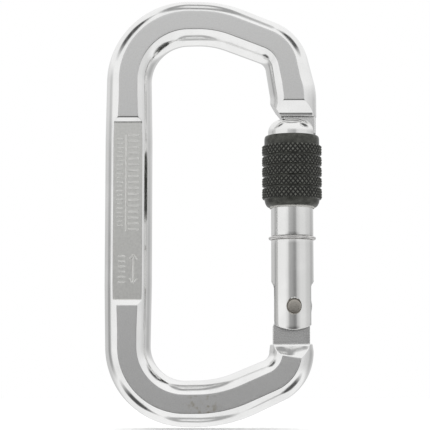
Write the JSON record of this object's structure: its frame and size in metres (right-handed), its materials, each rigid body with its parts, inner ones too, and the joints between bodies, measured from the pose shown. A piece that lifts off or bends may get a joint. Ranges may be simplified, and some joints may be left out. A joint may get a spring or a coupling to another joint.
{
  "type": "locking carabiner",
  "caption": "Offset-D bar carabiner with a sprung gate, pin latch and screw-up knurled locking sleeve.",
  "frame": {"origin": "hang point: the inside apex of the top bow, at mid-thickness", "axes": "+X from the spine to the gate, +Y from the front face to the back face, +Z from the hinge end to the nose end"},
  "size_m": [0.0553, 0.0154, 0.1089],
  "materials": {
    "polished_aluminium": "polished bar with satin pressed flats",
    "gate_aluminium": "bright turned",
    "black_anodised": "black anodised, diamond knurled",
    "rivet_steel": "plain",
    "spring_steel": "drawn wire",
    "ring_steel": "dark drawn wire",
    "pale_acetal": "moulded"
  },
  "bodies": {
    "frame": {"frame_body": "polished_aluminium", "hinge_rivet": "rivet_steel"},
    "gate": {"gate_barrel": "gate_aluminium", "latch_pin": "rivet_steel", "gate_spring": "spring_steel", "sleeve_stop_ring": "ring_steel"},
    "plunger": {"spring_plunger": "rivet_steel"},
    "friction_ring": {"sleeve_friction_ring": "pale_acetal"},
    "sleeve": {"locking_sleeve": "black_anodised"}
  },
  "joints": [
    {"name": "gate_hinge", "type": "hinge", "parent": "frame", "child": "gate", "pos_m": [0.02502, 0, -0.0673], "axis": [0, -1, 0], "range_deg": [0, 27], "stiffness_Nm_per_rad": 0.3, "springref_deg": -28.65},
    {"name": "plunger_slide", "type": "slide", "parent": "gate", "child": "plunger", "axis": [0, 0, 1], "range_m": [0, 0.00116], "deforming": ["gate_spring"]},
    {"name": "sleeve_travel", "type": "slide", "parent": "gate", "child": "friction_ring", "axis": [0, 0, 1], "range_m": [-0.00715, 0.00445]},
    {"name": "sleeve_spin", "type": "hinge", "parent": "friction_ring", "child": "sleeve", "pos_m": [0.02477, 0, -0.0329], "axis": [0, 0, 1], "range_deg": [-1718, 1070]}
  ],
  "couplings": [
    {"joint": "plunger_slide", "follows": "gate_hinge", "m_per_rad": 0.0024353},
    {"joint": "sleeve_spin", "follows": "sleeve_travel", "rad_per_m": 4188.8}
  ]
}
